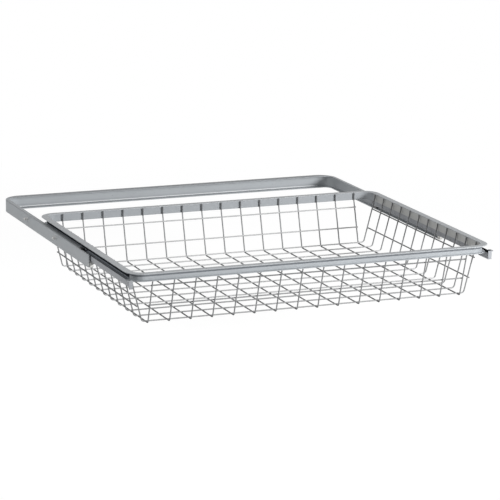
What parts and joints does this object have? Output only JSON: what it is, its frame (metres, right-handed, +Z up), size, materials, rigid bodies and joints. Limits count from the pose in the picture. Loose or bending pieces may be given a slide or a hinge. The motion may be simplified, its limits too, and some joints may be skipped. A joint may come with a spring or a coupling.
{
  "type": "pull-out wire basket frame",
  "caption": "Sheet-steel channel frame for a cabinet, with a welded wire basket on a folded rim that pulls out on roller rails.",
  "frame": {"origin": "midway between the four fixing pegs on the two arms, at the height of the pegs", "axes": "+X to the right seen from the open front, +Y towards the back bar, +Z up; the basket pulls out along -Y"},
  "size_m": [0.618, 0.6405, 0.0846],
  "materials": {
    "frame_steel": "satin silver coat",
    "rim_steel": "satin silver coat",
    "rail_steel": "satin silver coat",
    "wire_steel": "satin silver coat",
    "axle_steel": "zinc plated",
    "nylon": "moulded nylon",
    "black_plastic": "moulded plastic"
  },
  "bodies": {
    "outer_frame": {"outer_frame": "frame_steel", "left_front_axle": "axle_steel", "right_front_axle": "axle_steel", "left_stop_clip": "black_plastic", "right_stop_clip": "black_plastic", "left_front_peg": "nylon", "left_rear_peg": "nylon", "right_front_peg": "nylon", "right_rear_peg": "nylon"},
    "left_runner": {"left_rail": "rail_steel", "left_rear_axle": "axle_steel"},
    "right_runner": {"right_rail": "rail_steel", "right_rear_axle": "axle_steel"},
    "basket": {"basket_rim": "rim_steel", "lengthwise_wire_01": "wire_steel", "lengthwise_wire_02": "wire_steel", "lengthwise_wire_03": "wire_steel", "lengthwise_wire_04": "wire_steel", "lengthwise_wire_05": "wire_steel", "lengthwise_wire_06": "wire_steel", "lengthwise_wire_07": "wire_steel", "lengthwise_wire_08": "wire_steel", "lengthwise_wire_09": "wire_steel", "lengthwise_wire_10": "wire_steel", "lengthwise_wire_11": "wire_steel", "lengthwise_wire_12": "wire_steel", "lengthwise_wire_13": "wire_steel", "lengthwise_wire_14": "wire_steel", "lengthwise_wire_15": "wire_steel", "lengthwise_wire_16": "wire_steel", "crosswise_wire_01": "wire_steel", "crosswise_wire_02": "wire_steel", "crosswise_wire_03": "wire_steel", "crosswise_wire_04": "wire_steel", "crosswise_wire_05": "wire_steel", "crosswise_wire_06": "wire_steel", "crosswise_wire_07": "wire_steel", "crosswise_wire_08": "wire_steel", "crosswise_wire_09": "wire_steel", "crosswise_wire_10": "wire_steel", "crosswise_wire_11": "wire_steel", "crosswise_wire_12": "wire_steel", "front_wall_wire_lower": "wire_steel", "front_wall_wire_upper": "wire_steel", "back_wall_wire_lower": "wire_steel", "back_wall_wire_upper": "wire_steel", "left_wall_wire_lower": "wire_steel", "left_wall_wire_upper": "wire_steel", "right_wall_wire_lower": "wire_steel", "right_wall_wire_upper": "wire_steel"},
    "left_front_roller": {"left_front_roller": "nylon"},
    "left_rear_roller": {"left_rear_roller": "nylon"},
    "right_front_roller": {"right_front_roller": "nylon"},
    "right_rear_roller": {"right_rear_roller": "nylon"}
  },
  "joints": [
    {"name": "left_rail_slide", "type": "slide", "parent": "outer_frame", "child": "left_runner", "axis": [0, -1, 0], "range_m": [-0.165, 0.197]},
    {"name": "right_rail_slide", "type": "slide", "parent": "outer_frame", "child": "right_runner", "axis": [0, -1, 0], "range_m": [-0.165, 0.197]},
    {"name": "basket_lift", "type": "slide", "parent": "left_runner", "child": "basket", "axis": [0, 0, 1], "range_m": [0, 0.1]},
    {"name": "left_front_roller_spin", "type": "hinge", "parent": "outer_frame", "child": "left_front_roller", "pos_m": [-0.29785, -0.2336, -0.0085], "axis": [1, 0, 0], "continuous": true},
    {"name": "left_rear_roller_spin", "type": "hinge", "parent": "left_runner", "child": "left_rear_roller", "pos_m": [-0.2974, 0.0159, -0.003], "axis": [1, 0, 0], "continuous": true},
    {"name": "right_front_roller_spin", "type": "hinge", "parent": "outer_frame", "child": "right_front_roller", "pos_m": [0.29785, -0.2336, -0.0085], "axis": [1, 0, 0], "continuous": true},
    {"name": "right_rear_roller_spin", "type": "hinge", "parent": "right_runner", "child": "right_rear_roller", "pos_m": [0.2974, 0.0159, -0.003], "axis": [1, 0, 0], "continuous": true}
  ],
  "couplings": [
    {"joint": "right_rail_slide", "follows": "left_rail_slide", "ratio": 1},
    {"joint": "left_front_roller_spin", "follows": "left_rail_slide", "rad_per_m": 204.08},
    {"joint": "left_rear_roller_spin", "follows": "left_rail_slide", "rad_per_m": 113.64},
    {"joint": "right_front_roller_spin", "follows": "left_rail_slide", "rad_per_m": 204.08},
    {"joint": "right_rear_roller_spin", "follows": "left_rail_slide", "rad_per_m": 113.64}
  ]
}
